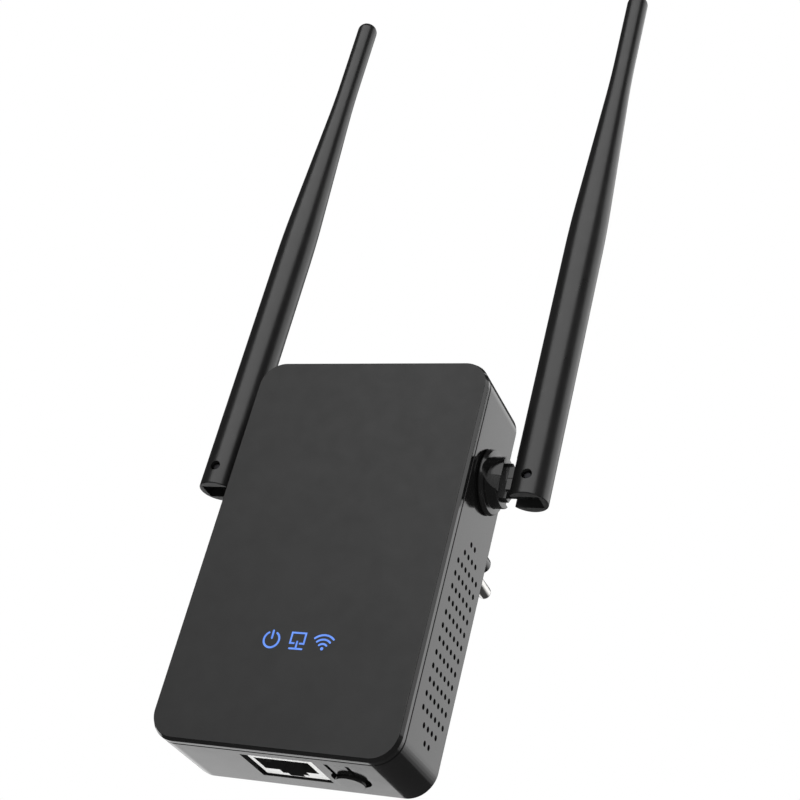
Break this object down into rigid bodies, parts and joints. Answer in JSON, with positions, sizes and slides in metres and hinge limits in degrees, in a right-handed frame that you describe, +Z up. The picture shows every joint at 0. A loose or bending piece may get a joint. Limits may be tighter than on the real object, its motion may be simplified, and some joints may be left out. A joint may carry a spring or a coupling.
{
  "type": "wifi range extender",
  "caption": "Plug-in wifi range extender: slim rounded box with a network socket and WPS button below, folding swivel antennas at its sides and a two-pin mains plug behind.",
  "frame": {"origin": "centre of the plug's rear face, midway between the two mains pins", "axes": "+Y out of the plug's rear face along the pins, away from the room; +X to the right seen from the room; +Z up along the case and the raised antennas"},
  "size_m": [0.1014, 0.083, 0.2503],
  "materials": {
    "front_cover": "fine matt moulded texture",
    "rear_shell": "high gloss moulded",
    "indicator_lens": "smooth, lit from behind",
    "light_guide": "polished clear acrylic",
    "antenna_plastic": "satin moulded",
    "plug_plastic": "semi gloss moulded",
    "pin_sleeve_plastic": "smooth moulded",
    "plug_pin_metal": "polished nickel plating",
    "spring_contact": "bright stamped strip",
    "jack_nylon": "smooth white nylon",
    "switch_body": "moulded",
    "white_plastic": "moulded",
    "board": "solder mask",
    "chip": "moulded epoxy",
    "shield_metal": "tin plated sheet",
    "ferrite": "sintered",
    "winding_tape": "polyester tape",
    "capacitor_sleeve": "shrink sleeve",
    "steel": "zinc plated",
    "copper": "drawn copper",
    "cable_jacket": "smooth sheath"
  },
  "bodies": {
    "case": {"front_cover": "front_cover", "rear_shell": "rear_shell", "power_lens": "indicator_lens", "network_lens": "indicator_lens", "wireless_lens": "indicator_lens", "light_guide": "light_guide", "plug_stem": "plug_plastic", "network_jack": "jack_nylon", "network_jack_contacts": "spring_contact", "wps_switch": "switch_body", "main_board": "board", "rf_shield": "shield_metal", "wifi_processor": "chip", "ethernet_transformer": "chip", "power_led": "white_plastic", "network_led": "white_plastic", "wireless_led": "white_plastic", "board_link": "chip", "power_board": "board", "transformer_core": "ferrite", "transformer_coil": "winding_tape", "left_bulk_capacitor": "capacitor_sleeve", "right_bulk_capacitor": "capacitor_sleeve", "output_capacitor": "capacitor_sleeve", "filter_choke": "ferrite", "bridge_rectifier": "chip", "mains_fuse": "shield_metal", "case_screw_1": "steel", "case_screw_2": "steel", "case_screw_3": "steel", "case_screw_4": "steel", "left_plug_pin": "plug_pin_metal", "left_pin_sleeve": "pin_sleeve_plastic", "left_plug_contact": "spring_contact", "left_aerial_lead": "cable_jacket", "right_plug_pin": "plug_pin_metal", "right_pin_sleeve": "pin_sleeve_plastic", "right_plug_contact": "spring_contact", "right_aerial_lead": "cable_jacket"},
    "left_swivel": {"left_swivel_knuckle": "antenna_plastic", "left_swivel_ring": "steel"},
    "left_antenna": {"left_antenna_sleeve": "antenna_plastic", "left_hinge_pin": "steel", "left_radiator": "copper"},
    "right_swivel": {"right_swivel_knuckle": "antenna_plastic", "right_swivel_ring": "steel"},
    "right_antenna": {"right_antenna_sleeve": "antenna_plastic", "right_hinge_pin": "steel", "right_radiator": "copper"},
    "button": {"wps_button": "rear_shell"},
    "plunger": {"wps_switch_plunger": "white_plastic"}
  },
  "joints": [
    {"name": "left_antenna_swivel", "type": "hinge", "parent": "case", "child": "left_swivel", "pos_m": [-0.0339, -0.0492, -0.0002], "axis": [1, 0, 0], "range_deg": [-90, 180]},
    {"name": "left_antenna_fold", "type": "hinge", "parent": "left_swivel", "child": "left_antenna", "pos_m": [-0.0454, -0.0492, -0.0002], "axis": [0, -1, 0], "range_deg": [0, 90]},
    {"name": "right_antenna_swivel", "type": "hinge", "parent": "case", "child": "right_swivel", "pos_m": [0.0339, -0.0492, -0.0002], "axis": [1, 0, 0], "range_deg": [-90, 180]},
    {"name": "right_antenna_fold", "type": "hinge", "parent": "right_swivel", "child": "right_antenna", "pos_m": [0.0454, -0.0492, -0.0002], "axis": [0, 1, 0], "range_deg": [0, 90]},
    {"name": "wps_button_press", "type": "hinge", "parent": "case", "child": "button", "pos_m": [0.01605, -0.0578, -0.0808], "axis": [1, 0, 0], "range_deg": [0, 4], "stiffness_Nm_per_rad": 0.24},
    {"name": "wps_plunger_slide", "type": "slide", "parent": "case", "child": "plunger", "axis": [0, 0, 1], "range_m": [0, 0.00063]}
  ],
  "couplings": [
    {"joint": "wps_plunger_slide", "follows": "wps_button_press", "m_per_rad": 0.009}
  ]
}
